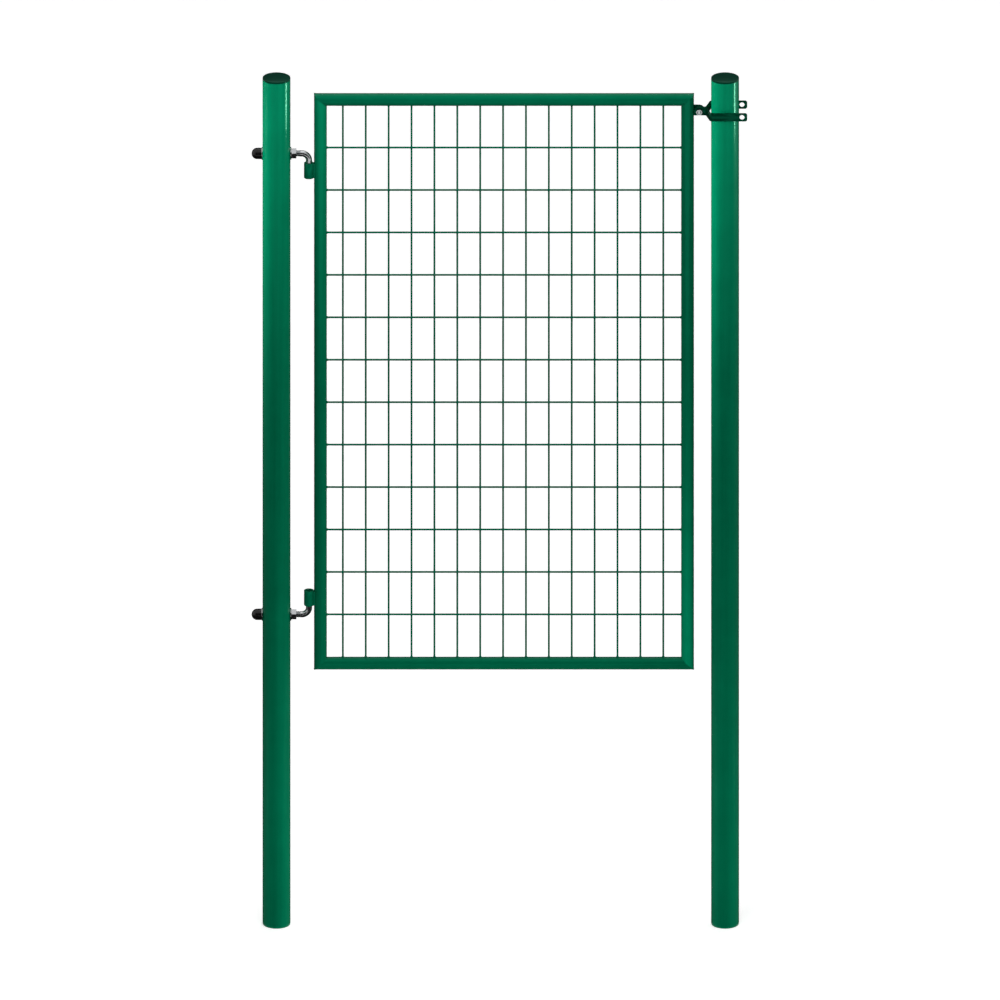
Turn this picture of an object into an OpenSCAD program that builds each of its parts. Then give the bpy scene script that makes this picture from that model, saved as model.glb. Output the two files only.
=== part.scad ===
// Garden gate for a welded mesh fence. A tube-framed leaf hangs on two cranked hinge bolts in a round
// post, and a drop fork on the leaf closes over a second round post.
// The origin is the middle of the hinge post's foot. X runs towards the latch post, Z is up,
// and -Y is the side that faces the path.

/* [Posts] */
// Distance between the centres of the two posts
post_pitch = 980; // [900:5:1200]
// Outside diameter of a post, with its coating
post_d = 61; // [50:1:64]
// Wall of a post
post_wall = 2; // [1.5:0.5:3]
// Length of a post tube, foot to top edge
post_length = 1990; // [1800:1:2400]
// Rounding of the coating over the post's cut lower edge
foot_round = 1.2; // [0.5:0.1:1.4]

/* [Post caps] */
// Height of the rim that stands on the post
cap_rim = 4; // [2:0.5:8]
// Rise of the domed top above the rim
cap_rise = 3; // [1:0.5:8]
// Depth of the plug inside the post
cap_plug = 18; // [10:1:40]

/* [Leaf] */
// Height of the leaf's underside above the post's foot
leaf_bottom = 600; // [200:1:650]
// Outside height of the leaf
leaf_h = 1356; // [900:1:1360]
// Gap between the leaf and the latch post
latch_gap = 37.5; // [34:0.5:45]
// Outside diameter of the frame tube
frame_d = 28; // [25:1:32]
// Wall of the frame tube
frame_wall = 2; // [1.5:0.5:3]

/* [Mesh] */
// Distance between neighbouring upright wires
upright_pitch = 50; // [40:5:100]
// Distance of the first upright wire from the hinge stile's centre line
first_upright = 49; // [20:1:80]
// Distance between neighbouring level wires
level_pitch = 100; // [50:10:200]
// Distance of the lowest level wire from the bottom rail's centre line
first_level = 115.5; // [30:0.5:150]
// Diameter of a coated wire
wire_d = 4.2; // [3:0.2:5]
// Depth to which two crossing wires are welded into each other
weld_sink = 0.8; // [0.6:0.1:1]

/* [Hinges] */
// Distance of the hinge axis from the hinge post's centre
hinge_reach = 71; // [68:1:80]
// Distance from the upper hinge bolt down from the leaf's top
upper_inset = 141; // [100:1:200]
// Distance from the lower hinge bolt up from the leaf's underside
lower_inset = 129; // [100:1:200]
// Diameter of the cranked hinge bolt
bolt_d = 14; // [12:1:16]
// Radius of the bolt's bend, to its centre line
bend_r = 16; // [14:1:18]
// Outside diameter of the sleeve on the leaf
sleeve_d = 22; // [20:1:24]
// Length of the sleeve
sleeve_l = 35; // [30:1:60]
// Distance from the bolt's centre line to the near end of the sleeve
sleeve_drop = 22; // [20:1:30]
// Width of the hinge nut across its flats
nut_flats = 22; // [21:1:24]
// Turn of the hinge nut on its bolt, which puts one corner to the front
nut_turn = 22; // [0:1:60]
// Diameter of the plastic dome nut
dome_d = 25; // [22:1:28]

/* [Latch] */
// Height of the fork's bolt above the foot
latch_z = 1915; // [1000:1:1920]
// Distance of the fork's bolt from the leaf's edge
latch_reach = 11.5; // [11.5:0.5:12]
// Height of the fork's flat bar
strap_h = 19; // [16:1:20]
// Thickness of the flat bar
strap_t = 3; // [2:0.5:4]
// Clear space between the latch post and each prong
prong_gap = 5; // [4:0.5:8]
// Distance of the prong's tip from the latch post's centre
prong_tip = 48.5; // [46:0.5:60]
// Diameter of the padlock holes
padlock_d = 11; // [8:1:11]

/* [Hidden] */
$fn = 48;

green = "#00694b";
cap_green = "#042b1f";
zinc = "#b9bcc0";
black = "#17171a";

post_r = post_d / 2;
frame_r = frame_d / 2;

// The leaf, measured on the centre lines of its frame tubes
hinge_stile_x = hinge_reach + sleeve_d / 2 + frame_r;
latch_stile_x = post_pitch - post_r - latch_gap - frame_r;
bottom_rail_z = leaf_bottom + frame_r;
top_rail_z = leaf_bottom + leaf_h - frame_r;
leaf_mid_x = (hinge_stile_x + latch_stile_x) / 2;
leaf_mid_z = (bottom_rail_z + top_rail_z) / 2;

// Hinge bolts
upper_bolt_z = leaf_bottom + leaf_h - upper_inset;
lower_bolt_z = leaf_bottom + lower_inset;
bolt_play = 0.3;       // around the bolt in the post's holes and in the sleeve
thread_play = 0.05;    // around a bolt in its nut
washer_t = 2;
washer_d = 28;
nut_t = 11;
bolt_tail = 13;        // length of the bolt beyond the outer washer
dome_neck = 9.5;       // straight part of the dome nut
pin_short = 4;         // distance that the hinge pin stops short of the sleeve's far end

// Latch
latch_x = latch_stile_x + frame_r + latch_reach;
pivot_d = 8;
pivot_flats = 13;
pivot_nut_t = 6.5;
pivot_head_t = 5.3;
pivot_play = 0.3;      // around the pivot bolt in the fork, and between the fork and the leaf's pieces
lug_t = 5;
lug_h = 24;
lug_y = strap_t + pivot_play + 0.2;
flare_turn = 75;       // angle of the flare between the fork's tab and its prongs
flare_r = 5;           // radius of the bar's bends, to its centre line
bend_steps = 8;        // flats round each bend
prong_y = post_r + prong_gap + strap_t / 2;
flare_drop = prong_y - strap_t / 2;
flare_l = (flare_drop - 2 * flare_r * (1 - cos(flare_turn))) / sin(flare_turn);
flare_x = latch_x + 11.5;
ear_round = 5;
padlock_x = post_pitch + post_r + 1 + padlock_d / 2;

// Hexagon of a nut or bolt head, with its corners turned off at both ends
module hexagon(flats, height) {
    corner_r = flats / 2 / cos(30);
    chamfer = corner_r - flats / 2 * 0.98;
    fall = chamfer * tan(30);
    intersection() {
        cylinder(r = corner_r, h = height, $fn = 6);
        rotate_extrude()
            polygon([
                [0, 0], [corner_r - chamfer, 0], [corner_r, fall],
                [corner_r, height - fall], [corner_r - chamfer, height], [0, height]
            ]);
    }
}

module ring(outer_d, inner_d, height) {
    difference() {
        cylinder(d = outer_d, h = height);
        translate([0, 0, -1]) cylinder(d = inner_d, h = height + 2);
    }
}

// Round post whose coating rolls over its cut foot
module post_tube() {
    rotate_extrude() {
        translate([post_r - post_wall, foot_round]) square([post_wall, post_length - foot_round]);
        translate([post_r - post_wall, 0]) square([post_wall - foot_round, foot_round]);
        intersection() {
            translate([post_r - foot_round, foot_round]) circle(r = foot_round);
            translate([post_r - foot_round, 0]) square(foot_round);
        }
    }
}

module hinge_post() {
    color(green)
    difference() {
        post_tube();
        for (z = [lower_bolt_z, upper_bolt_z])
            translate([-post_d, 0, z]) rotate([0, 90, 0]) cylinder(d = bolt_d + 2 * bolt_play, h = 2 * post_d);
    }
}

module latch_post() {
    color(green) translate([post_pitch, 0, 0]) post_tube();
}

// Push-in cap: a shallow dome on a rim as wide as the post, and a hollow plug below
module post_cap(x) {
    dome_r = (post_r * post_r + cap_rise * cap_rise) / (2 * cap_rise);
    plug_r = post_r - post_wall - 0.2;
    plug_wall = 2.5;
    top = cap_rim + cap_rise;
    color(cap_green)
    translate([x, 0, post_length])
    rotate_extrude() {
        intersection() {
            square([post_r, top]);
            translate([0, top - dome_r]) circle(r = dome_r, $fn = 256);
        }
        translate([plug_r - plug_wall, -cap_plug]) square([plug_wall, cap_plug]);
    }
}

module hinge_post_cap() { post_cap(0); }
module latch_post_cap() { post_cap(post_pitch); }

// Places a hinge's pieces: the upper pin points down, and the lower one is its mirror image
module at_upper() { translate([0, 0, upper_bolt_z]) children(); }
module at_lower() { translate([0, 0, lower_bolt_z]) mirror([0, 0, 1]) children(); }

// Cranked bolt: through the post, round a bend and down into the sleeve
module cranked_bolt() {
    tail = post_r + washer_t + bolt_tail;
    color(zinc) {
        translate([-tail, 0, 0]) rotate([0, 90, 0]) cylinder(d = bolt_d, h = tail + hinge_reach - bend_r);
        translate([hinge_reach - bend_r, 0, -bend_r])
            rotate([90, 0, 0])
            rotate_extrude(angle = 90)
            translate([bend_r, 0]) circle(d = bolt_d);
        translate([hinge_reach, 0, -sleeve_drop - sleeve_l + pin_short])
            cylinder(d = bolt_d, h = sleeve_drop + sleeve_l - pin_short - bend_r);
    }
}

module inner_washer() {
    color(zinc) translate([post_r, 0, 0]) rotate([0, 90, 0]) ring(washer_d, bolt_d + 2 * bolt_play, washer_t);
}

module hinge_nut() {
    color(zinc)
    translate([post_r + washer_t, 0, 0])
    rotate([-nut_turn, 0, 0])
    rotate([0, 90, 0])
    rotate([0, 0, 90])
    difference() {
        hexagon(nut_flats, nut_t);
        translate([0, 0, -1]) cylinder(d = bolt_d + 2 * thread_play, h = nut_t + 2);
    }
}

module outer_washer() {
    color(zinc)
    translate([-post_r - washer_t, 0, 0])
    rotate([0, 90, 0])
    ring(washer_d, bolt_d + 2 * bolt_play, washer_t);
}

// Plastic dome nut that covers the bolt's outer end
module dome_nut() {
    color(black)
    translate([-post_r - washer_t, 0, 0])
    rotate([0, -90, 0])
    difference() {
        union() {
            cylinder(d = dome_d, h = dome_neck);
            translate([0, 0, dome_neck])
            intersection() {
                sphere(d = dome_d);
                cylinder(d = dome_d + 2, h = dome_d);
            }
        }
        translate([0, 0, -1]) cylinder(d = bolt_d + 2 * thread_play, h = bolt_tail + 2);
    }
}

module upper_hinge_bolt() { at_upper() cranked_bolt(); }
module upper_inner_washer() { at_upper() inner_washer(); }
module upper_hinge_nut() { at_upper() hinge_nut(); }
module upper_outer_washer() { at_upper() outer_washer(); }
module upper_dome_nut() { at_upper() dome_nut(); }
module lower_hinge_bolt() { at_lower() cranked_bolt(); }
module lower_inner_washer() { at_lower() inner_washer(); }
module lower_hinge_nut() { translate([0, 0, lower_bolt_z]) hinge_nut(); }
module lower_outer_washer() { at_lower() outer_washer(); }
module lower_dome_nut() { at_lower() dome_nut(); }

// Tube along X whose ends are cut at 45 degrees, so that its lower side is the longer one.
// span is the distance between the corners, measured on the centre lines.
module mitred_tube(span) {
    block = 4 * frame_d;
    color(green)
    difference() {
        translate([-span / 2 - frame_d, 0, 0]) rotate([0, 90, 0])
            ring(frame_d, frame_d - 2 * frame_wall, span + 2 * frame_d);
        for (side = [0, 1])
            mirror([side, 0, 0])
            translate([span / 2, 0, 0])
            rotate([0, -45, 0])
            translate([0, -block / 2, -block / 2])
            cube(block);
    }
}

module bottom_rail() {
    translate([leaf_mid_x, 0, bottom_rail_z]) mitred_tube(latch_stile_x - hinge_stile_x);
}

module top_rail() {
    translate([leaf_mid_x, 0, top_rail_z]) mirror([0, 0, 1]) mitred_tube(latch_stile_x - hinge_stile_x);
}

module hinge_stile() {
    translate([hinge_stile_x, 0, leaf_mid_z]) rotate([0, 90, 0]) mitred_tube(top_rail_z - bottom_rail_z);
}

module latch_stile() {
    translate([latch_stile_x, 0, leaf_mid_z]) rotate([0, -90, 0]) mitred_tube(top_rail_z - bottom_rail_z);
}

// Welded mesh, one piece: upright wires behind, level wires in front, each as a square bar with
// the cross-section of the round wire
module mesh_panel() {
    opening_w = latch_stile_x - hinge_stile_x - frame_d;
    opening_h = top_rail_z - bottom_rail_z - frame_d;
    bar = wire_d * sqrt(PI) / 2;
    offset_y = (wire_d - weld_sink) / 2;
    color(green) {
        for (x = [first_upright : upright_pitch : opening_w + frame_r - wire_d])
            translate([hinge_stile_x + x, offset_y, leaf_mid_z])
            cube([bar, bar, opening_h], center = true);
        for (z = [first_level : level_pitch : opening_h + frame_r - wire_d])
            translate([leaf_mid_x, -offset_y, bottom_rail_z + z])
            cube([opening_w, bar, bar], center = true);
    }
}

// Sleeve welded along the hinge stile, in which the bolt's pin turns
module hinge_sleeve() {
    color(green)
    translate([hinge_reach, 0, -sleeve_drop - sleeve_l])
    ring(sleeve_d, bolt_d + 2 * bolt_play, sleeve_l);
}

module upper_hinge_sleeve() { at_upper() hinge_sleeve(); }
module lower_hinge_sleeve() { at_lower() hinge_sleeve(); }

// Plate welded to the latch stile, which carries the fork's bolt
module latch_lug() {
    color(green)
    difference() {
        translate([latch_x, lug_y + lug_t, latch_z])
        rotate([90, 0, 0])
        linear_extrude(height = lug_t)
        difference() {
            union() {
                circle(d = lug_h);
                translate([-latch_reach - frame_r, -lug_h / 2]) square([latch_reach + frame_r, lug_h]);
            }
            circle(d = pivot_d + 2 * thread_play);
        }
        translate([latch_stile_x, 0, latch_z - lug_h]) cylinder(d = frame_d, h = 2 * lug_h);
    }
}

// Hexagon bolt, put in from behind, on which the fork turns
module latch_bolt() {
    color(zinc)
    translate([latch_x, lug_y + lug_t, latch_z]) {
        rotate([-90, 0, 0]) hexagon(pivot_flats, pivot_head_t);
        rotate([90, 0, 0]) cylinder(d = pivot_d, h = lug_y + lug_t + strap_t + pivot_play + pivot_nut_t + 2);
    }
}

module latch_nut() {
    color(zinc)
    translate([latch_x, -strap_t - pivot_play, latch_z])
    rotate([90, 0, 0])
    difference() {
        hexagon(pivot_flats, pivot_nut_t);
        translate([0, 0, -1]) cylinder(d = pivot_d + 2 * thread_play, h = pivot_nut_t + 2);
    }
}

// Points along an arc
function arc(centre, r, from, to) = [
    for (i = [0 : bend_steps])
        centre + r * [cos(from + (to - from) * i / bend_steps), sin(from + (to - from) * i / bend_steps)]
];

// The front bar seen from above: the tab, the flare and the prong
module strap_plan() {
    start_x = latch_x - latch_reach + pivot_play;
    tab_y = -strap_t / 2;
    tab_bend = [flare_x, tab_y - flare_r];
    prong_bend = [flare_x + 2 * flare_r * sin(flare_turn) + flare_l * cos(flare_turn), flare_r - prong_y];
    tip_x = post_pitch + prong_tip;
    outer_r = flare_r + strap_t / 2;
    inner_r = flare_r - strap_t / 2;
    polygon(concat(
        [[start_x, tab_y + strap_t / 2]],
        arc(tab_bend, outer_r, 90, 90 - flare_turn),
        arc(prong_bend, inner_r, 270 - flare_turn, 270),
        [[tip_x, strap_t / 2 - prong_y], [tip_x, -strap_t / 2 - prong_y]],
        arc(prong_bend, outer_r, 270, 270 - flare_turn),
        arc(tab_bend, inner_r, 90 - flare_turn, 90),
        [[start_x, tab_y - strap_t / 2]]
    ));
}

// The bar seen from the front. The tab's upper corner is rounded about the bolt, so that the fork
// lifts, and its lower corner stays square and rests on the stile.
module strap_face() {
    difference() {
        union() {
            circle(d = strap_h);
            translate([-latch_reach, -strap_h / 2]) square([latch_reach, strap_h / 2]);
            translate([0, -strap_h / 2])
                square([post_pitch + prong_tip - latch_x - ear_round, strap_h]);
            for (side = [-1, 1])
                translate([post_pitch + prong_tip - latch_x - ear_round, side * (strap_h / 2 - ear_round)])
                circle(r = ear_round);
            translate([0, -strap_h / 2 + ear_round])
                square([post_pitch + prong_tip - latch_x, strap_h - 2 * ear_round]);
        }
        circle(d = pivot_d + 2 * pivot_play);
        translate([padlock_x - latch_x, 0]) circle(d = padlock_d);
    }
}

module fork_strap() {
    color(green)
    intersection() {
        translate([0, 0, latch_z - strap_h]) linear_extrude(height = 2 * strap_h) strap_plan();
        translate([latch_x, 1, latch_z])
            rotate([90, 0, 0])
            linear_extrude(height = prong_y + strap_t)
            strap_face();
    }
}

module fork_front_strap() { fork_strap(); }
module fork_rear_strap() { mirror([0, 1, 0]) fork_strap(); }

hinge_post();
hinge_post_cap();
latch_post();
latch_post_cap();
upper_hinge_bolt();
upper_inner_washer();
upper_hinge_nut();
upper_outer_washer();
upper_dome_nut();
lower_hinge_bolt();
lower_inner_washer();
lower_hinge_nut();
lower_outer_washer();
lower_dome_nut();
hinge_stile();
latch_stile();
top_rail();
bottom_rail();
mesh_panel();
upper_hinge_sleeve();
lower_hinge_sleeve();
latch_lug();
latch_bolt();
latch_nut();
fork_front_strap();
fork_rear_strap();
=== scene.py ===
import math

import bmesh
import bpy
from mathutils import Matrix, Vector


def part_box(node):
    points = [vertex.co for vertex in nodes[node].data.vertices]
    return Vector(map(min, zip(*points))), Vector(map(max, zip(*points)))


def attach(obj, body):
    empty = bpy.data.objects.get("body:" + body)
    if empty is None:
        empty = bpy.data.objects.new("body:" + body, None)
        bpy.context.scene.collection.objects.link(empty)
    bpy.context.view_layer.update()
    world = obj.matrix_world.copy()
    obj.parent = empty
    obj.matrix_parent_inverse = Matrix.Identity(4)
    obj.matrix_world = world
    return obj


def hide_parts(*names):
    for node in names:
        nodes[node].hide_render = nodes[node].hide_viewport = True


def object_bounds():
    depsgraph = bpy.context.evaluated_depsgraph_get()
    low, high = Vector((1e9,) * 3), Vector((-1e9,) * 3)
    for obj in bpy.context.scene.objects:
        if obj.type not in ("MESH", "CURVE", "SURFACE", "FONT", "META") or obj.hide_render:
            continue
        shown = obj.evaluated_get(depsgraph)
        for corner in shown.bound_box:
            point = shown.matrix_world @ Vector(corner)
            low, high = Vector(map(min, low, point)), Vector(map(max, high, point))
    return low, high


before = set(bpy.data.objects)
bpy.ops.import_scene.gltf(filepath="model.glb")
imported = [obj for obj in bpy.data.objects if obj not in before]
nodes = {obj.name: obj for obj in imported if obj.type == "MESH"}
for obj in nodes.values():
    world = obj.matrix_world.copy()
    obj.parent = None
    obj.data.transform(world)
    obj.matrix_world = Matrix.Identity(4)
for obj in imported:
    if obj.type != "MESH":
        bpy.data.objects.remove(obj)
cad_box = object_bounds()
scene = bpy.context.scene

# ---------------------------------------------------------------------------------------------
# Camera. The gate stands square to the camera, which looks down on it by 22 degrees with a long
# lens, so the picture is drawn without perspective.
# ---------------------------------------------------------------------------------------------
camera = bpy.data.objects.new("camera", bpy.data.cameras.new("camera"))
scene.collection.objects.link(camera)
camera.data.type = "ORTHO"
camera.data.ortho_scale = 2.1847
look_down = math.radians(22)
aim, distance = Vector((0.4883, 0, 0.9983)), 6
camera.location = aim + distance * Vector((0, -math.cos(look_down), math.sin(look_down)))
camera.rotation_euler = (math.radians(90) - look_down, 0, 0)
scene.camera = camera
scene.view_settings.view_transform = "Standard"


# ---------------------------------------------------------------------------------------------
# Floor and studio light. A pale floor without an edge, soft light from above, the right and behind,
# small soft boxes with barn doors for the posts and stiles, and black cloth that only mirrors show.
# ---------------------------------------------------------------------------------------------
def linear(hex_colour):
    """A colour written in sRGB, as the linear RGBA that a shader takes."""
    channels = [int(hex_colour[i:i + 2], 16) / 255 for i in (1, 3, 5)]
    return [c / 12.92 if c <= 0.04045 else ((c + 0.055) / 1.055) ** 2.4 for c in channels] + [1]


def add_node(tree, kind, inputs=None, **settings):
    """Adds a node. An input takes a number, a colour, or another node's output to be joined to it."""
    node = tree.nodes.new(kind)
    for name, value in settings.items():
        setattr(node, name, value)
    for name, value in (inputs or {}).items():
        if isinstance(value, bpy.types.NodeSocket):
            tree.links.new(value, node.inputs[name])
        else:
            node.inputs[name].default_value = value
    return node


floor_bm = bmesh.new()
bmesh.ops.create_grid(floor_bm, x_segments=1, y_segments=1, size=12)
floor_mesh = bpy.data.meshes.new("floor")
floor_bm.to_mesh(floor_mesh)
floor_bm.free()
floor = bpy.data.objects.new("floor", floor_mesh)
scene.collection.objects.link(floor)

# Matt white paper. What the eye, a mirror or glass sees of it is lifted to white, shadows included.
paper = bpy.data.materials.new("white_studio_paper")
paper.use_nodes = True
tree = paper.node_tree
tree.nodes.clear()
rays = add_node(tree, "ShaderNodeLightPath")
seen = add_node(tree, "ShaderNodeMath", {0: rays.outputs["Is Camera Ray"], 1: rays.outputs["Is Glossy Ray"]},
                operation="MAXIMUM")
seen = add_node(tree, "ShaderNodeMath", {0: seen.outputs[0], 1: rays.outputs["Is Transmission Ray"]},
                operation="MAXIMUM")
lift_to_white = 0.59
lift = add_node(tree, "ShaderNodeMath", {0: seen.outputs[0], 1: lift_to_white}, operation="MULTIPLY")
matt = add_node(tree, "ShaderNodeBsdfDiffuse", {"Color": linear("#e6e6e6")})
glow = add_node(tree, "ShaderNodeEmission", {"Strength": lift.outputs[0]})
both = add_node(tree, "ShaderNodeAddShader", {0: matt.outputs[0], 1: glow.outputs[0]})
add_node(tree, "ShaderNodeOutputMaterial", {"Surface": both.outputs[0]})
floor_mesh.materials.append(paper)

world = bpy.data.worlds.new("studio")
scene.world = world
world.use_nodes = True
tree = world.node_tree
tree.nodes.clear()
rays = add_node(tree, "ShaderNodeLightPath")
seen = add_node(tree, "ShaderNodeMath", {0: rays.outputs["Is Camera Ray"], 1: rays.outputs["Is Glossy Ray"]},
                operation="MAXIMUM")
seen = add_node(tree, "ShaderNodeMath", {0: seen.outputs[0], 1: rays.outputs["Is Transmission Ray"]},
                operation="MAXIMUM")
strength = add_node(tree, "ShaderNodeMapRange", {"Value": seen.outputs[0], "To Min": 0.07, "To Max": 1.0})
sky = add_node(tree, "ShaderNodeBackground", {"Color": (1, 1, 1, 1), "Strength": strength.outputs[0]})
add_node(tree, "ShaderNodeOutputWorld", {"Surface": sky.outputs[0]})


def soft_box(name, place, aim, width, height, power, mirrored=True, only=()):
    """A soft box of that size in metres, aimed at a point, which the camera doesn't see. Barn doors
    may leave it shining on a few nodes only."""
    lamp = bpy.data.lights.new(name, "AREA")
    lamp.shape, lamp.size, lamp.size_y, lamp.energy = "RECTANGLE", width, height, power
    box = bpy.data.objects.new(name, lamp)
    box.location = place
    box.rotation_euler = (Vector(aim) - Vector(place)).to_track_quat("-Z", "Y").to_euler()
    box.visible_camera, box.visible_glossy = False, mirrored
    scene.collection.objects.link(box)
    if only:
        group = bpy.data.collections.new(name + "_receiver")
        for node in only:
            group.objects.link(nodes[node])
        box.light_linking.receiver_collection = group
        box.light_linking.blocker_collection = group


# For each post two keys and a mirrored strip for its upper part, and two low boxes for its foot
for post, front in (("hinge_post", ["hinge_post", "hinge_stile"]), ("latch_post", ["latch_post"])):
    low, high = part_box(post)
    x = (low.x + high.x) / 2
    soft_box(post + "_side_key", (x - 0.56, 0.04, 1.84), (x, 0, 1.78), 0.25, 0.5, 8.7,
             mirrored=False, only=[post])
    soft_box(post + "_front_key", (x + 0.08, -0.50, 2.05), (x, 0, 1.93), 0.3, 0.3, 1.7,
             mirrored=False, only=front)
    soft_box(post + "_foot_left", (x - 0.6, -0.10, 0.15), (x, 0, 0.12), 0.25, 0.25, 1.1,
             mirrored=False, only=[post])
    soft_box(post + "_foot_right", (x + 0.6, -0.15, 0.15), (x, 0, 0.12), 0.25, 0.25, 1.6,
             mirrored=False, only=[post])
    soft_box(post + "_strip", (x + 0.77, -0.055, 1.68), (x, -0.02, 1.95), 0.08, 0.17, 1.5, only=[post])

# Boxes for the leaf's rails and the foot of its latch stile, and a long strip high up behind, which
# the tubes and the bright metal mirror
soft_box("rail_box", (0.40, -0.75, 2.50), (0.40, 0, 1.94), 1.0, 0.3, 6.0, mirrored=False)
soft_box("low_rail_box", (0.45, -0.90, 0.25), (0.45, 0, 0.65), 0.8, 0.3, 4.0, mirrored=False)
soft_box("latch_stile_key", (0.87, -0.55, 0.62), (0.87, 0, 0.66), 0.2, 0.3, 2.1,
         mirrored=False, only=["latch_stile"])
soft_box("top_strip", (0.5, 0.6, 3.3), (0.5, 0, 1.9), 2.4, 0.15, 3.0)

# Wide light from above and a little in front, from far to the right, and from behind, each broad
# enough to leave only a soft shadow
light_spread = math.radians(40)
for name, energy, turn in (("ceiling_light", 0.82, (16, 0, -12)), ("right_light", 1.25, (80, 0, 82)),
                           ("back_light", 1.0, (62, 0, 160))):
    lamp = bpy.data.objects.new(name, bpy.data.lights.new(name, "SUN"))
    lamp.data.energy, lamp.data.angle = energy, light_spread
    lamp.rotation_euler = [math.radians(a) for a in turn]
    lamp.visible_glossy = False
    scene.collection.objects.link(lamp)

# Black cloth, a flag laid on the floor and a drape before and behind the gate. Only reflections
# show it: it keeps the coat deep green and draws the dark lines in the bright metal.
cloth = bpy.data.materials.new("black_flag_cloth")
cloth.use_nodes = True
cloth.node_tree.nodes["Principled BSDF"].inputs["Base Color"].default_value = linear("#0a0a0a")
for name, width, length, middle, turn in (("floor_flag", 10.8, 9.4, (0, 1.3, 0.004), 0),
                                          ("drape_behind", 15.0, 8.0, (0.5, 6.0, 4.0), math.pi / 2),
                                          ("drape_in_front", 15.0, 8.0, (0.5, -6.5, 4.0), math.pi / 2)):
    bm = bmesh.new()
    bmesh.ops.create_grid(bm, x_segments=1, y_segments=1, size=0.5)
    bmesh.ops.scale(bm, verts=bm.verts, vec=(width, length, 1))
    bmesh.ops.rotate(bm, verts=bm.verts, cent=(0, 0, 0), matrix=Matrix.Rotation(turn, 3, "X"))
    bmesh.ops.translate(bm, verts=bm.verts, vec=middle)
    mesh = bpy.data.meshes.new(name)
    bm.to_mesh(mesh)
    bm.free()
    mesh.materials.append(cloth)
    flag = bpy.data.objects.new(name, mesh)
    scene.collection.objects.link(flag)
    flag.visible_camera = flag.visible_diffuse = flag.visible_shadow = flag.visible_transmission = False


# ---------------------------------------------------------------------------------------------
# Posts. Round steel tube, 61 mm across with its coating: galvanised, then dipped in green plastic
# that rolls over the cut foot. The hinge post is drilled right through for the two hinge bolts.
# ---------------------------------------------------------------------------------------------
def green_coat(name, colour, grain):
    """Plastic coat on drawn steel tube: deep even green, a hard gloss with a slow orange peel, and
    faint streaks the way that the tube was drawn and dipped. grain stretches the pattern along it."""
    material = bpy.data.materials.new(name)
    material.use_nodes = True
    tree = material.node_tree
    shader = tree.nodes["Principled BSDF"]
    place = add_node(tree, "ShaderNodeTexCoord")
    drawn = add_node(tree, "ShaderNodeMapping", {"Vector": place.outputs["Object"], "Scale": grain})
    # Dip streaks 4 mm wide and some 300 mm long
    streaks = add_node(tree, "ShaderNodeTexNoise",
                       {"Vector": drawn.outputs[0], "Scale": 1 / 0.004, "Detail": 3.0, "Roughness": 0.55})
    # Clouds of 60 mm in the thickness of the coat
    clouds = add_node(tree, "ShaderNodeTexNoise",
                      {"Vector": place.outputs["Object"], "Scale": 1 / 0.06, "Detail": 2.0})
    mixed = add_node(tree, "ShaderNodeMath", {0: streaks.outputs["Fac"], 1: clouds.outputs["Fac"]},
                     operation="ADD")
    tone = add_node(tree, "ShaderNodeMapRange",
                    {"Value": mixed.outputs[0], "From Min": 0.7, "From Max": 1.3,
                     "To Min": 0.93, "To Max": 1.07})
    green = add_node(tree, "ShaderNodeVectorMath", {0: linear(colour)[:3], "Scale": tone.outputs[0]},
                     operation="SCALE")
    gloss = add_node(tree, "ShaderNodeMapRange",
                     {"Value": mixed.outputs[0], "From Min": 0.6, "From Max": 1.4,
                      "To Min": 0.12, "To Max": 0.19})
    # Orange peel: waves of 5 mm, a few hundredths of a millimetre deep
    peel = add_node(tree, "ShaderNodeTexNoise",
                    {"Vector": place.outputs["Object"], "Scale": 1 / 0.005, "Detail": 1.0})
    bump = add_node(tree, "ShaderNodeBump",
                    {"Height": peel.outputs["Fac"], "Strength": 0.25, "Distance": 0.0003})
    shader.inputs["IOR"].default_value = 1.5
    shader.inputs["Specular Tint"].default_value = linear("#30ffc0")
    shader.inputs["Specular IOR Level"].default_value = 0.38
    tree.links.new(green.outputs[0], shader.inputs["Base Color"])
    tree.links.new(gloss.outputs[0], shader.inputs["Roughness"])
    tree.links.new(bump.outputs[0], shader.inputs["Normal"])
    return material


upright_coat = green_coat("green_dipped_steel_upright", "#006344", (1, 1, 0.012))
for name in ("hinge_post", "latch_post"):
    nodes[name].material_slots[0].material = upright_coat


# ---------------------------------------------------------------------------------------------
# Post caps. Push-in caps of dark green moulded polyethylene, a shallow dome on a rim as wide as
# the post, with the hollow plug that holds them. They are pressed in by hand.
# ---------------------------------------------------------------------------------------------
def turned(bm, profile, place, axis, steps=64):
    """Adds the shape that a closed or axis-to-axis profile of (radius, height) gives when it is turned
    about an axis through place."""
    verts = [bm.verts.new((radius, 0, height)) for radius, height in profile]
    edges = [bm.edges.new(pair) for pair in zip(verts, verts[1:])]
    if profile[0][0] > 0:
        edges.append(bm.edges.new((verts[-1], verts[0])))
    before = set(bm.verts) - set(verts)
    bmesh.ops.spin(bm, geom=verts + edges, cent=(0, 0, 0), axis=(0, 0, 1), angle=2 * math.pi,
                   steps=steps, use_merge=True)
    made = [v for v in bm.verts if v not in before]
    bmesh.ops.remove_doubles(bm, verts=made, dist=1e-6)
    made = [v for v in bm.verts if v not in before]
    turn = Vector(axis).to_track_quat("Z", "Y").to_matrix().to_4x4()
    bmesh.ops.transform(bm, matrix=Matrix.Translation(place) @ turn, verts=made)
    return made


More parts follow.
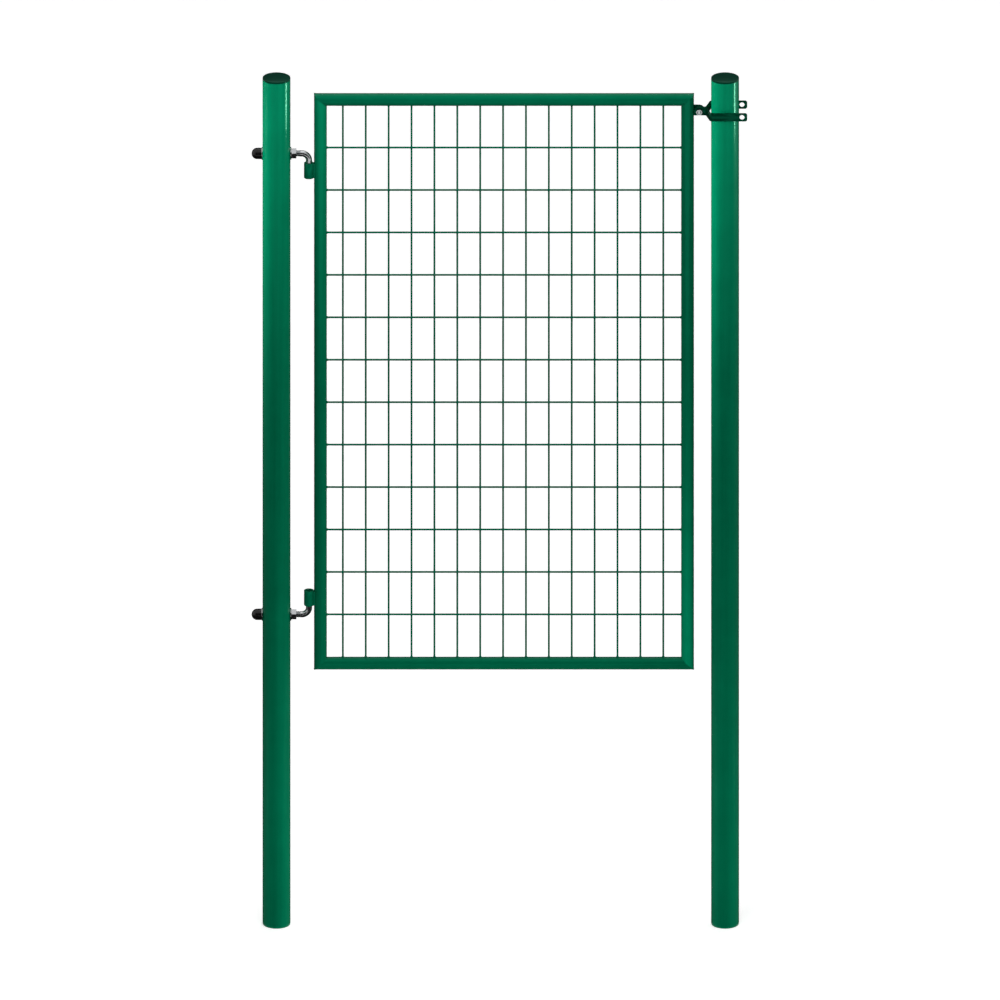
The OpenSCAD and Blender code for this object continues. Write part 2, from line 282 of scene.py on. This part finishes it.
def round_edges(bm, size, segments=2, over=35, pick=lambda edge: True):
    """Rounds the edges that turn by more than that angle."""
    bm.normal_update()
    sharp = [e for e in bm.edges
             if len(e.link_faces) == 2 and e.calc_face_angle() > math.radians(over) and pick(e)]
    bmesh.ops.bevel(bm, geom=sharp, offset=size, segments=segments, profile=0.5, affect="EDGES",
                    material=-1, clamp_overlap=True)


def make_piece(bm, name, material, body, stands_for=(), crease=30):
    """Makes the finished mesh an object that rides on a body."""
    bmesh.ops.recalc_face_normals(bm, faces=bm.faces)
    mesh = bpy.data.meshes.new(name)
    bm.to_mesh(mesh)
    bm.free()
    mesh.shade_smooth()
    mesh.set_sharp_from_angle(angle=math.radians(crease))
    mesh.materials.append(material)
    piece = bpy.data.objects.new(name, mesh)
    scene.collection.objects.link(piece)
    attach(piece, body)
    if stands_for:
        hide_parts(*stands_for)
    return piece


# Moulded polyethylene: dark, half gloss, with the fine grain that a spark-eroded mould leaves
cap_plastic = bpy.data.materials.new("dark_green_moulded_polyethylene")
cap_plastic.use_nodes = True
tree = cap_plastic.node_tree
place = add_node(tree, "ShaderNodeTexCoord")
grain = add_node(tree, "ShaderNodeTexNoise",
                 {"Vector": place.outputs["Object"], "Scale": 1 / 0.0012, "Detail": 2.0})
clouds = add_node(tree, "ShaderNodeTexNoise", {"Vector": place.outputs["Object"], "Scale": 1 / 0.02})
tone = add_node(tree, "ShaderNodeMapRange", {"Value": clouds.outputs["Fac"], "To Min": 0.85, "To Max": 1.15})
green = add_node(tree, "ShaderNodeVectorMath", {0: linear("#042b1f")[:3], "Scale": tone.outputs[0]},
                 operation="SCALE")
gloss = add_node(tree, "ShaderNodeMapRange", {"Value": clouds.outputs["Fac"], "To Min": 0.28, "To Max": 0.36})
bump = add_node(tree, "ShaderNodeBump", {"Height": grain.outputs["Fac"], "Strength": 0.3, "Distance": 0.0002})
shader = tree.nodes["Principled BSDF"]
shader.inputs["IOR"].default_value = 1.5
shader.inputs["Specular Tint"].default_value = linear("#30ffc0")
shader.inputs["Specular IOR Level"].default_value = 0.38
tree.links.new(green.outputs[0], shader.inputs["Base Color"])
tree.links.new(gloss.outputs[0], shader.inputs["Roughness"])
tree.links.new(bump.outputs[0], shader.inputs["Normal"])

plug_l, plug_outer, plug_inner = 0.018, 0.0283, 0.0258
crown = 0.003  # the rise of the dome over its rim
for name in ("hinge_post_cap", "latch_post_cap"):
    low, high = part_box(name)
    radius = (high.x - low.x) / 2
    top = high.z - low.z
    dome_r = (radius ** 2 + crown ** 2) / (2 * crown)
    dome = [(r, top - dome_r + math.sqrt(dome_r ** 2 - r ** 2))
            for r in (0, 0.006, 0.012, 0.018, 0.024, radius)]
    bm = bmesh.new()
    turned(bm, dome + [(radius, plug_l), (plug_outer, plug_l), (plug_outer, 0), (plug_inner, 0),
                       (plug_inner, plug_l), (0, plug_l)],
           ((low.x + high.x) / 2, 0, low.z), (0, 0, 1), steps=96)
    round_edges(bm, 0.0006, 3, over=40)
    make_piece(bm, name + "_moulding", cap_plastic, "posts", [name], crease=50)


# ---------------------------------------------------------------------------------------------
# Leaf frame. Four lengths of 28 mm steel tube, mitred and welded at the corners, then dipped green
# with the rest of the leaf. The welds show under the coat as a low rippled bead.
# ---------------------------------------------------------------------------------------------
level_coat = green_coat("green_dipped_steel_level", "#006344", (0.012, 1, 1))
for name in ("hinge_stile", "latch_stile"):
    nodes[name].material_slots[0].material = upright_coat
for name in ("top_rail", "bottom_rail"):
    nodes[name].material_slots[0].material = level_coat

leaf_low, leaf_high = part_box("hinge_stile")[0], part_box("latch_stile")[1]
tube_r = (leaf_high.y - leaf_low.y) / 2
left, right = leaf_low.x + tube_r, leaf_high.x - tube_r
lower, upper = leaf_low.z + tube_r, leaf_high.z - tube_r
bead_r = 0.0012
bead_x = tube_r - 0.0009  # its middle lies under the tube's surface, so that it stands out by 0.3 mm
bm = bmesh.new()
for x, z, lean in ((left, lower, 1), (left, upper, -1), (right, lower, -1), (right, upper, 1)):
    # A ring round the tube, drawn out along the mitre and laid in its plane
    section = bmesh.ops.create_circle(bm, segments=10, radius=bead_r)["verts"]
    bmesh.ops.translate(bm, verts=section, vec=(bead_x, 0, 0))
    bmesh.ops.rotate(bm, verts=section, cent=(bead_x, 0, 0), matrix=Matrix.Rotation(math.pi / 2, 3, "X"))
    known = set(bm.verts) - set(section)
    edges = list({e for v in section for e in v.link_edges})
    bmesh.ops.spin(bm, geom=section + edges, cent=(0, 0, 0), axis=(0, 0, 1), angle=2 * math.pi, steps=90,
                   use_merge=True)
    ring = [v for v in bm.verts if v not in known]
    for v in ring:
        swell = 1 + 0.012 * math.sin(30 * math.atan2(v.co.y, v.co.x))
        v.co.x, v.co.y = v.co.x * swell, v.co.y * swell
    bmesh.ops.transform(bm, matrix=Matrix.Translation((x, 0, z))
                        @ Matrix.Rotation(-lean * math.pi / 4, 4, "Y")
                        @ Matrix.Diagonal((math.sqrt(2), 1, 1, 1)), verts=ring)
bmesh.ops.remove_doubles(bm, verts=bm.verts, dist=1e-6)
make_piece(bm, "mitre_welds", upright_coat, "leaf", crease=60)


# ---------------------------------------------------------------------------------------------
# Mesh. Welded fence mesh of 4.2 mm coated wire, 50 x 100 mm, cut to fit the frame and welded to
# it at every wire's end. The coat gathers where two wires cross and at the ends.
# ---------------------------------------------------------------------------------------------
wire_coat = green_coat("green_dipped_steel_wire", "#005c41", (1, 1, 1))
wire_r = 0.0021
wire_y = 0.0017  # from the leaf's middle to a wire's middle, so that crossing wires sink together
upright_pitch, first_upright = 0.05, 0.049
level_pitch, first_level = 0.1, 0.1155
columns = [left + first_upright + i * upright_pitch for i in range(15)]
rows = [lower + first_level + i * level_pitch for i in range(12)]


def wire(bm, place, axis, length):
    """A straight wire, and the blob of coat over the weld at each end."""
    turn = Matrix.Translation(place) @ Vector(axis).to_track_quat("Z", "Y").to_matrix().to_4x4()
    bmesh.ops.create_cone(bm, segments=12, radius1=wire_r, radius2=wire_r, depth=length + 0.002, matrix=turn)
    for end in (-1, 1):
        bmesh.ops.create_cone(bm, segments=12, radius1=wire_r + 0.0012, radius2=wire_r + 0.00005, depth=0.003,
                              matrix=turn @ Matrix.Rotation(0 if end < 0 else math.pi, 4, "X")
                              @ Matrix.Translation((0, 0, -length / 2 + 0.0012)))


bm = bmesh.new()
for x in columns:
    wire(bm, (x, wire_y, (lower + upper) / 2), (0, 0, 1), upper - lower - 2 * tube_r)
for z in rows:
    wire(bm, ((left + right) / 2, -wire_y, z), (1, 0, 0), right - left - 2 * tube_r)
for x in columns:
    for z in rows:
        bmesh.ops.create_uvsphere(bm, u_segments=8, v_segments=6, radius=1,
                                  matrix=Matrix.Translation((x, 0, z))
                                  @ Matrix.Diagonal((0.0028, 0.0030, 0.0028, 1)))
make_piece(bm, "welded_wires", wire_coat, "leaf", ["mesh_panel"], crease=50)


# ---------------------------------------------------------------------------------------------
# Hinge sleeves. Short lengths of thick steel tube welded along the hinge stile, in which the pins
# turn. A rippled weld runs down each side, and the coat covers sleeve and weld together.
# ---------------------------------------------------------------------------------------------
pin_hole_r = 0.0073
seam_r, ripple = 0.0031, 0.0030
for name in ("upper_hinge_sleeve", "lower_hinge_sleeve"):
    low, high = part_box(name)
    outer, length = (high.y - low.y) / 2, high.z - low.z
    bm = bmesh.new()
    turned(bm, [(pin_hole_r, 0), (outer, 0), (outer, length), (pin_hole_r, length)],
           (low.x + outer, 0, low.z), (0, 0, 1), steps=64)
    round_edges(bm, 0.0009, 3, over=60)
    for side in (-1, 1):
        bead = bmesh.ops.create_cone(bm, cap_ends=True, segments=14, radius1=seam_r, radius2=seam_r,
                                     depth=length - 0.003)["verts"]
        bmesh.ops.rotate(bm, verts=bead, cent=(0, 0, 0), matrix=Matrix.Rotation(math.pi / 2, 3, "Z"))
        known = set(bm.verts) - set(bead)
        for step in range(-10, 11):
            grown = [v for v in bm.verts if v not in known]
            edges = {e for v in grown for e in v.link_edges}
            faces = {f for v in grown for f in v.link_faces}
            bmesh.ops.bisect_plane(bm, geom=list(edges) + list(faces) + grown, dist=1e-6,
                                   plane_co=(0, 0, step * ripple / 2), plane_no=(0, 0, 1))
        bead = [v for v in bm.verts if v not in known]
        for v in bead:
            swell = 1 + 0.10 * math.cos(v.co.z / ripple * 2 * math.pi)
            if abs(v.co.z) > length / 2 - 0.002:
                swell -= 0.25
            v.co.x, v.co.y = v.co.x * swell, v.co.y * swell
        bmesh.ops.translate(bm, verts=bead, vec=(high.x + 0.0002, side * 0.0052, (low.z + high.z) / 2))
    make_piece(bm, name + "_welded", upright_coat, "leaf", [name], crease=50)


# ---------------------------------------------------------------------------------------------
# Hinge bolts. 14 mm bright zinc-plated steel: threaded through the post, then bent square into a
# smooth pin that drops, or on the lower hinge stands, in its sleeve. Rolled thread, 2 mm pitch.
# ---------------------------------------------------------------------------------------------
# Bright zinc plating: almost a mirror, pale and a little blue, with a faint bloom and fine
# handling marks that blur it in places
zinc = bpy.data.materials.new("bright_zinc_plated_steel")
zinc.use_nodes = True
tree = zinc.node_tree
place = add_node(tree, "ShaderNodeTexCoord")
bloom = add_node(tree, "ShaderNodeTexNoise",
                 {"Vector": place.outputs["Object"], "Scale": 1 / 0.006, "Detail": 4.0, "Roughness": 0.6})
marks = add_node(tree, "ShaderNodeTexNoise",
                 {"Vector": place.outputs["Object"], "Scale": 1 / 0.0008, "Detail": 2.0})
tone = add_node(tree, "ShaderNodeMapRange", {"Value": bloom.outputs["Fac"], "From Min": 0.3, "From Max": 0.7,
                                             "To Min": 0.86, "To Max": 1.04})
plate = add_node(tree, "ShaderNodeVectorMath", {0: linear("#c0c2c4")[:3], "Scale": tone.outputs[0]},
                 operation="SCALE")
haze = add_node(tree, "ShaderNodeMapRange", {"Value": bloom.outputs["Fac"], "From Min": 0.3, "From Max": 0.7,
                                             "To Min": 0.10, "To Max": 0.22})
bump = add_node(tree, "ShaderNodeBump",
                {"Height": marks.outputs["Fac"], "Strength": 0.12, "Distance": 0.0001})
shader = tree.nodes["Principled BSDF"]
shader.inputs["Metallic"].default_value = 1.0
tree.links.new(plate.outputs[0], shader.inputs["Base Color"])
tree.links.new(haze.outputs[0], shader.inputs["Roughness"])
tree.links.new(bump.outputs[0], shader.inputs["Normal"])


def threaded(bm, start, direction, length, major, pitch, steps=24):
    """Adds a rolled thread from start along direction, tapered over one pitch at both ends."""
    minor = major - 0.6 * pitch
    known = set(bm.verts)
    shape = [(minor, 0), (major, 0.42 * pitch), (major, 0.58 * pitch), (minor, pitch)]
    verts = [bm.verts.new((radius, 0, height - pitch)) for radius, height in shape]
    edges = [bm.edges.new(pair) for pair in zip(verts, verts[1:])]
    turns = math.ceil(length / pitch) + 1
    bmesh.ops.spin(bm, geom=verts + edges, cent=(0, 0, 0), axis=(0, 0, 1), angle=2 * math.pi * turns,
                   steps=steps * turns, dvec=(0, 0, pitch / steps))
    bmesh.ops.remove_doubles(bm, verts=[v for v in bm.verts if v not in known], dist=1e-6)
    made = [v for v in bm.verts if v not in known]
    for v in made:
        reach = min(v.co.z, length - v.co.z)
        most = minor - 0.0004 + max(reach, 0) * 0.9
        radius = math.hypot(v.co.x, v.co.y)
        if radius > most:
            v.co.x, v.co.y = v.co.x * most / radius, v.co.y * most / radius
        v.co.z = min(max(v.co.z, 0), length)
    rims = [e for v in made for e in v.link_edges if e.is_boundary]
    bmesh.ops.holes_fill(bm, edges=list(set(rims)), sides=0)
    turn = Vector(direction).to_track_quat("Z", "Y").to_matrix().to_4x4()
    bmesh.ops.transform(bm, matrix=Matrix.Translation(start) @ turn, verts=made)


bend, m14_pitch = 0.016, 0.002
shank_l = 0.003  # the plain shank between the thread's end and the bend
for name, down in (("upper_hinge_bolt", 1), ("lower_hinge_bolt", -1)):
    low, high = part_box(name)
    radius = (high.y - low.y) / 2
    axis_z = high.z - radius if down > 0 else low.z + radius
    pin_x = high.x - radius
    pin_end = low.z if down > 0 else high.z
    bm = bmesh.new()
    threaded(bm, (low.x, 0, axis_z), (1, 0, 0), pin_x - bend - 0.0005 - low.x, radius, m14_pitch)
    ring = bmesh.ops.create_circle(bm, segments=32, radius=radius - 0.0002)["verts"]
    bmesh.ops.rotate(bm, verts=ring, cent=(0, 0, 0), matrix=Matrix.Rotation(math.pi / 2, 3, "Y"))
    bmesh.ops.translate(bm, verts=ring, vec=(pin_x - bend - shank_l, 0, axis_z))
    edges = list({e for v in ring for e in v.link_edges})
    bmesh.ops.holes_fill(bm, edges=edges, sides=0)
    out = bmesh.ops.extrude_edge_only(bm, edges=edges)["geom"]
    ring = [g for g in out if isinstance(g, bmesh.types.BMVert)]
    edges = [g for g in out if isinstance(g, bmesh.types.BMEdge)]
    bmesh.ops.translate(bm, verts=ring, vec=(shank_l, 0, 0))
    out = bmesh.ops.spin(bm, geom=edges + ring, cent=(pin_x - bend, 0, axis_z - down * bend),
                         axis=(0, down, 0), angle=math.pi / 2, steps=20)["geom_last"]
    edges = [g for g in out if isinstance(g, bmesh.types.BMEdge)]
    out = bmesh.ops.extrude_edge_only(bm, edges=edges)["geom"]
    ring = [g for g in out if isinstance(g, bmesh.types.BMVert)]
    edges = [g for g in out if isinstance(g, bmesh.types.BMEdge)]
    bmesh.ops.translate(bm, verts=ring, vec=(0, 0, pin_end - (axis_z - down * bend)))
    bmesh.ops.holes_fill(bm, edges=edges, sides=0)
    round_edges(bm, 0.0012, 3, over=80, pick=lambda e: abs(e.verts[0].co.z - pin_end) < 1e-5)
    make_piece(bm, name + "_threaded", zinc, "posts", [name], crease=35)


# ---------------------------------------------------------------------------------------------
# Washers and hinge nuts. Punched zinc-plated washers against the post, 28 mm across, and M14
# hexagon nuts with turned corners that clamp the bolts from the gate's side.
# ---------------------------------------------------------------------------------------------
washer_r, washer_hole_r = 0.014, 0.0073
for name in ("upper_inner_washer", "upper_outer_washer", "lower_inner_washer", "lower_outer_washer"):
    low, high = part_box(name)
    thickness = high.x - low.x
    bm = bmesh.new()
    turned(bm, [(washer_hole_r, 0), (washer_r, 0), (washer_r, thickness), (washer_hole_r, thickness)],
           (low.x, 0, (low.z + high.z) / 2), (1, 0, 0), steps=72)
    round_edges(bm, 0.0005, 3, over=60)
    make_piece(bm, name + "_punched", zinc, "posts", [name], crease=50)


def cut_shape(name, base, tools):
    """The mesh that is left of one shape after it is cut by others: a list of (bmesh, operation)."""
    shapes = []
    for bm in [base] + [tool for tool, how in tools]:
        bmesh.ops.recalc_face_normals(bm, faces=bm.faces)
        mesh = bpy.data.meshes.new(name)
        bm.to_mesh(mesh)
        bm.free()
        shapes.append(bpy.data.objects.new(name, mesh))
        scene.collection.objects.link(shapes[-1])
    for shape, (tool, how) in zip(shapes[1:], tools):
        cutter = shapes[0].modifiers.new(how, "BOOLEAN")
        cutter.object, cutter.operation, cutter.solver = shape, how, "EXACT"
    result = bmesh.new()
    result.from_mesh(shapes[0].evaluated_get(bpy.context.evaluated_depsgraph_get()).to_mesh())
    for shape in shapes:
        bpy.data.objects.remove(shape)
    bmesh.ops.remove_doubles(result, verts=result.verts, dist=2e-6)
    bmesh.ops.dissolve_limit(result, angle_limit=math.radians(1), verts=result.verts, edges=result.edges)
    return result


def hexagon_nut(name, flats, height, bore, place, axis, corner):
    """A hexagon nut or bolt head along axis, with one corner towards corner: its corners turned to a
    cone at both ends, and its bore, if it has one, countersunk."""
    corner_r = flats / 2 / math.cos(math.pi / 6)
    face_r = flats / 2 * 0.97
    fall = (corner_r - face_r) * math.tan(math.pi / 6)
    outer = [(face_r, 0), (corner_r + 0.0002, fall), (corner_r + 0.0002, height - fall), (face_r, height)]
    inner = [(bore + 0.0006, height), (bore, height - 0.0006), (bore, 0.0006), (bore + 0.0006, 0)]
    round_part = bmesh.new()
    profile = outer + inner if bore else [(0, 0)] + outer + [(0, height)]
    turned(round_part, profile, (0, 0, 0), (0, 0, 1), steps=96)
    block = bmesh.new()
    bmesh.ops.create_cone(block, cap_ends=True, segments=6, radius1=corner_r, radius2=corner_r,
                          depth=height * 2, matrix=Matrix.Translation((0, 0, height / 2)))
    bmesh.ops.rotate(block, verts=block.verts, cent=(0, 0, 0), matrix=Matrix.Rotation(math.pi / 6, 3, "Z"))
    round_edges(block, 0.0004, 2, over=50)
    nut = cut_shape(name, block, [(round_part, "INTERSECT")])
    corner, axis = Vector(corner).normalized(), Vector(axis)
    lay = Matrix((corner, axis.cross(corner), axis)).transposed().to_4x4()
    bmesh.ops.transform(nut, matrix=Matrix.Translation(place) @ lay, verts=nut.verts)
    return nut


m14_flats, m14_bore = 0.022, 0.00705
nut_turn = math.radians(22)
for name in ("upper_hinge_nut", "lower_hinge_nut"):
    low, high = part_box(name)
    corner = (0, -math.cos(nut_turn), math.sin(nut_turn))
    bm = hexagon_nut(name, m14_flats, high.x - low.x, m14_bore, (low.x, 0, (low.z + high.z) / 2),
                     (1, 0, 0), corner)
    make_piece(bm, name + "_turned", zinc, "posts", [name], crease=25)


# ---------------------------------------------------------------------------------------------
# Dome nuts. Black moulded nylon over the bolts' outer ends, round as a ball in front, with a fine
# parting line where the dome meets its neck. They screw on by hand against the outer washer.
# ---------------------------------------------------------------------------------------------
# Moulded nylon: black, half gloss, with the faint pebble of the mould
nylon = bpy.data.materials.new("black_moulded_nylon")
nylon.use_nodes = True
tree = nylon.node_tree
place = add_node(tree, "ShaderNodeTexCoord")
pebble = add_node(tree, "ShaderNodeTexNoise",
                  {"Vector": place.outputs["Object"], "Scale": 1 / 0.0007, "Detail": 2.0})
clouds = add_node(tree, "ShaderNodeTexNoise", {"Vector": place.outputs["Object"], "Scale": 1 / 0.008})
tone = add_node(tree, "ShaderNodeMapRange", {"Value": clouds.outputs["Fac"], "To Min": 0.8, "To Max": 1.3})
black = add_node(tree, "ShaderNodeVectorMath", {0: linear("#0b090a")[:3], "Scale": tone.outputs[0]},
                 operation="SCALE")
gloss = add_node(tree, "ShaderNodeMapRange", {"Value": clouds.outputs["Fac"], "To Min": 0.20, "To Max": 0.30})
bump = add_node(tree, "ShaderNodeBump",
                {"Height": pebble.outputs["Fac"], "Strength": 0.2, "Distance": 0.0001})
shader = tree.nodes["Principled BSDF"]
shader.inputs["IOR"].default_value = 1.53
shader.inputs["Specular IOR Level"].default_value = 0.3
tree.links.new(black.outputs[0], shader.inputs["Base Color"])
tree.links.new(gloss.outputs[0], shader.inputs["Roughness"])
tree.links.new(bump.outputs[0], shader.inputs["Normal"])

neck, bore_depth = 0.0095, 0.014
for name in ("upper_dome_nut", "lower_dome_nut"):
    low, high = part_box(name)
    radius = (high.y - low.y) / 2
    ball = [(radius * math.cos(a), neck + radius * math.sin(a)) for a in
            [math.radians(d) for d in (2, 8, 14, 20, 27, 34, 41, 48, 55, 62, 69, 76, 83)]]
    groove = [(radius, neck - 0.0007), (radius - 0.0003, neck - 0.0003), (radius - 0.0003, neck + 0.0001)]
    bm = bmesh.new()
    turned(bm, [(0, neck + radius)] + ball[::-1] + groove[::-1]
           + [(radius, 0.0006), (radius - 0.0006, 0), (m14_bore, 0), (m14_bore, bore_depth), (0, bore_depth)],
           (high.x, 0, (low.z + high.z) / 2), (-1, 0, 0), steps=72)
    make_piece(bm, name + "_moulded", nylon, "posts", [name], crease=40)


# ---------------------------------------------------------------------------------------------
# Latch lug. A 5 mm steel plate with a round end, welded to the latch stile on its rear face only,
# as the fork turns close to the front one. It carries the fork's bolt. Dipped green with the leaf;
# its coat is painted a darker green than the leaf's, as painted shade.
# ---------------------------------------------------------------------------------------------
# Painted shade: the leaf's dipped coat in a darker green, so that the lug and the fork look shaded.
fork_coat_painted_shade = green_coat("green_dipped_steel_plate_painted_shade", "#003523", (1, 1, 1))
low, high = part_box("latch_lug")
lug_x = right + 0.0105  # the plate's inner end, inside the stile
pivot_x, pivot_z = high.x - (high.z - low.z) / 2, (low.z + high.z) / 2
bm = bmesh.new()
bmesh.ops.create_grid(bm, x_segments=1, y_segments=1, size=0.5)
bmesh.ops.scale(bm, verts=bm.verts, vec=(high.x - lug_x, high.z - low.z, 1))
bmesh.ops.translate(bm, verts=bm.verts, vec=((high.x + lug_x) / 2, 0, 0))
bmesh.ops.rotate(bm, verts=bm.verts, cent=(0, 0, 0), matrix=Matrix.Rotation(math.pi / 2, 3, "X"))
bmesh.ops.translate(bm, verts=bm.verts, vec=(0, low.y, pivot_z))
bmesh.ops.bevel(bm, geom=[v for v in bm.verts if v.co.x > pivot_x], offset=0.01199, segments=12,
                profile=0.5, affect="VERTICES", material=-1)
grown = bmesh.ops.extrude_face_region(bm, geom=bm.faces[:])["geom"]
bmesh.ops.translate(bm, verts=[g for g in grown if isinstance(g, bmesh.types.BMVert)],
                    vec=(0, high.y - low.y, 0))
bmesh.ops.recalc_face_normals(bm, faces=bm.faces)
round_edges(bm, 0.0006, 2, over=60, pick=lambda e: abs(e.verts[0].co.y - e.verts[1].co.y) < 1e-6)
m8_bore = 0.00405
drill = bmesh.new()
bmesh.ops.create_cone(drill, cap_ends=True, segments=48, radius1=m8_bore, radius2=m8_bore, depth=0.03,
                      matrix=Matrix.Translation((pivot_x, (low.y + high.y) / 2, pivot_z))
                      @ Matrix.Rotation(math.pi / 2, 4, "X"))
bm = cut_shape("latch_lug_plate", bm, [(drill, "DIFFERENCE")])
bead = bmesh.ops.create_icosphere(bm, subdivisions=3, radius=0.0022)["verts"]
for v in bead:
    v.co.z *= 5.2
    swell = 1 + 0.08 * math.cos(v.co.z / ripple * 2 * math.pi)
    v.co.x, v.co.y = v.co.x * swell, v.co.y * swell
seam_x = right + math.sqrt(tube_r ** 2 - high.y ** 2) + 0.0004
bmesh.ops.translate(bm, verts=bead, vec=(seam_x, high.y, pivot_z))
make_piece(bm, "latch_lug_plate", fork_coat_painted_shade, "leaf", ["latch_lug"], crease=40)


# ---------------------------------------------------------------------------------------------
# Latch bolt. M8 zinc-plated hexagon bolt put in from behind, on which the fork turns, and its nut
# in front. Two turns of thread show beyond the nut.
# ---------------------------------------------------------------------------------------------
m8_flats, m8_head, m8_pitch = 0.013, 0.0053, 0.00125
low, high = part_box("latch_bolt")
thread_y = high.y - 0.005  # just inside the head
bm = hexagon_nut("latch_bolt", m8_flats, m8_head, 0, (pivot_x, high.y - m8_head, pivot_z),
                 (0, 1, 0), (1, 0, 0))
threaded(bm, (pivot_x, thread_y, pivot_z), (0, -1, 0), thread_y - low.y, 0.004, m8_pitch)
make_piece(bm, "latch_bolt_threaded", zinc, "leaf", ["latch_bolt"], crease=30)
low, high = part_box("latch_nut")
bm = hexagon_nut("latch_nut", m8_flats, high.y - low.y, m8_bore, (pivot_x, high.y, pivot_z),
                 (0, -1, 0), (1, 0, 0))
make_piece(bm, "latch_nut_turned", zinc, "leaf", ["latch_nut"], crease=25)


# ---------------------------------------------------------------------------------------------
# Drop fork. Two green-coated flat bars, 19 x 3 mm, meet on the bolt, part round the latch post and
# end in ears drilled for a padlock. Punched, bent cold, and dipped, so their edges are soft.
# ---------------------------------------------------------------------------------------------
low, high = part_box("fork_front_strap")
tip_x, half_height = high.x, (high.z - low.z) / 2
thick, bend_r, turn = 0.003, 0.005, math.radians(75)
prong_y = -low.y - thick / 2
start_x = low.x
tab_end = pivot_x + 0.0115
flare = (prong_y - thick / 2 - 2 * bend_r * (1 - math.cos(turn))) / math.sin(turn)
arc = bend_r * turn
prong_start_x = tab_end + 2 * bend_r * math.sin(turn) + flare * math.cos(turn)
run = (tab_end - start_x) + 2 * arc + flare + (tip_x - prong_start_x)


def along_bar(distance):
    """Where the bar's middle plane is at that distance from its inner end, and which way it faces."""
    first = tab_end - start_x
    if distance <= first:
        return Vector((start_x + distance, -thick / 2)), 0.0
    distance -= first
    bend_at = Vector((tab_end, -thick / 2 - bend_r))
    if distance <= arc:
        a = distance / bend_r
        return bend_at + bend_r * Vector((math.sin(a), math.cos(a))), a
    distance -= arc
    left_bend = bend_at + bend_r * Vector((math.sin(turn), math.cos(turn)))
    ahead = Vector((math.cos(turn), -math.sin(turn)))
    if distance <= flare:
        return left_bend + ahead * distance, turn
    distance -= flare
    bend_at = Vector((prong_start_x, bend_r - prong_y))
    if distance <= arc:
        a = turn - distance / bend_r
        return bend_at - bend_r * Vector((math.sin(a), math.cos(a))), a
    return Vector((prong_start_x + distance - arc, -prong_y)), 0.0


padlock_r = 0.0055
padlock_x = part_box("latch_post")[1].x + 0.001 + padlock_r
for name, side in (("fork_front_strap", 1), ("fork_rear_strap", -1)):
    flat = bmesh.new()
    bmesh.ops.create_grid(flat, x_segments=1, y_segments=1, size=0.5)
    bmesh.ops.scale(flat, verts=flat.verts, vec=(run, 2 * half_height, 1))
    bmesh.ops.translate(flat, verts=flat.verts, vec=(run / 2, 0, 0))
    bmesh.ops.bevel(flat, geom=[v for v in flat.verts if v.co.x > run / 2], offset=0.005, segments=8,
                    profile=0.5, affect="VERTICES", material=-1)
    bmesh.ops.bevel(flat, geom=[v for v in flat.verts if v.co.x < run / 2 and v.co.y > 0], offset=0.0088,
                    segments=8, profile=0.5, affect="VERTICES", material=-1)
    grown = bmesh.ops.extrude_face_region(flat, geom=flat.faces[:])["geom"]
    bmesh.ops.translate(flat, verts=[g for g in grown if isinstance(g, bmesh.types.BMVert)],
                        vec=(0, 0, thick))
    bmesh.ops.translate(flat, verts=flat.verts, vec=(0, 0, -thick / 2))
    drills = []
    for hole_x, hole_r in ((pivot_x - start_x, 0.0043), (run - (tip_x - padlock_x), padlock_r)):
        drill = bmesh.new()
        bmesh.ops.create_cone(drill, cap_ends=True, segments=48, radius1=hole_r, radius2=hole_r,
                              depth=0.02, matrix=Matrix.Translation((hole_x, 0, 0)))
        drills.append((drill, "DIFFERENCE"))
    flat = cut_shape(name, flat, drills)
    round_edges(flat, 0.0005, 2, over=60, pick=lambda e: abs(e.verts[0].co.z - e.verts[1].co.z) < 1e-6)
    bends = [tab_end - start_x + arc * i / 8 for i in range(9)]
    bends += [bends[-1] + flare + arc * i / 8 for i in range(9)]
    for cut in bends:
        bmesh.ops.bisect_plane(flat, geom=flat.verts[:] + flat.edges[:] + flat.faces[:], dist=1e-6,
                               plane_co=(cut, 0, 0), plane_no=(1, 0, 0))
    bmesh.ops.triangulate(flat, faces=[f for f in flat.faces if len(f.verts) > 4])
    for v in flat.verts:
        middle, a = along_bar(min(max(v.co.x, 0), run))
        out = Vector((math.sin(a), math.cos(a))) * v.co.z
        v.co = Vector((middle.x + out.x, side * (middle.y + out.y), pivot_z + v.co.y))
    # The bars take the lug's darker coat, which is painted shade.
    make_piece(flat, name + "_bent", fork_coat_painted_shade, "fork", [name], crease=40)

low, high = cad_box
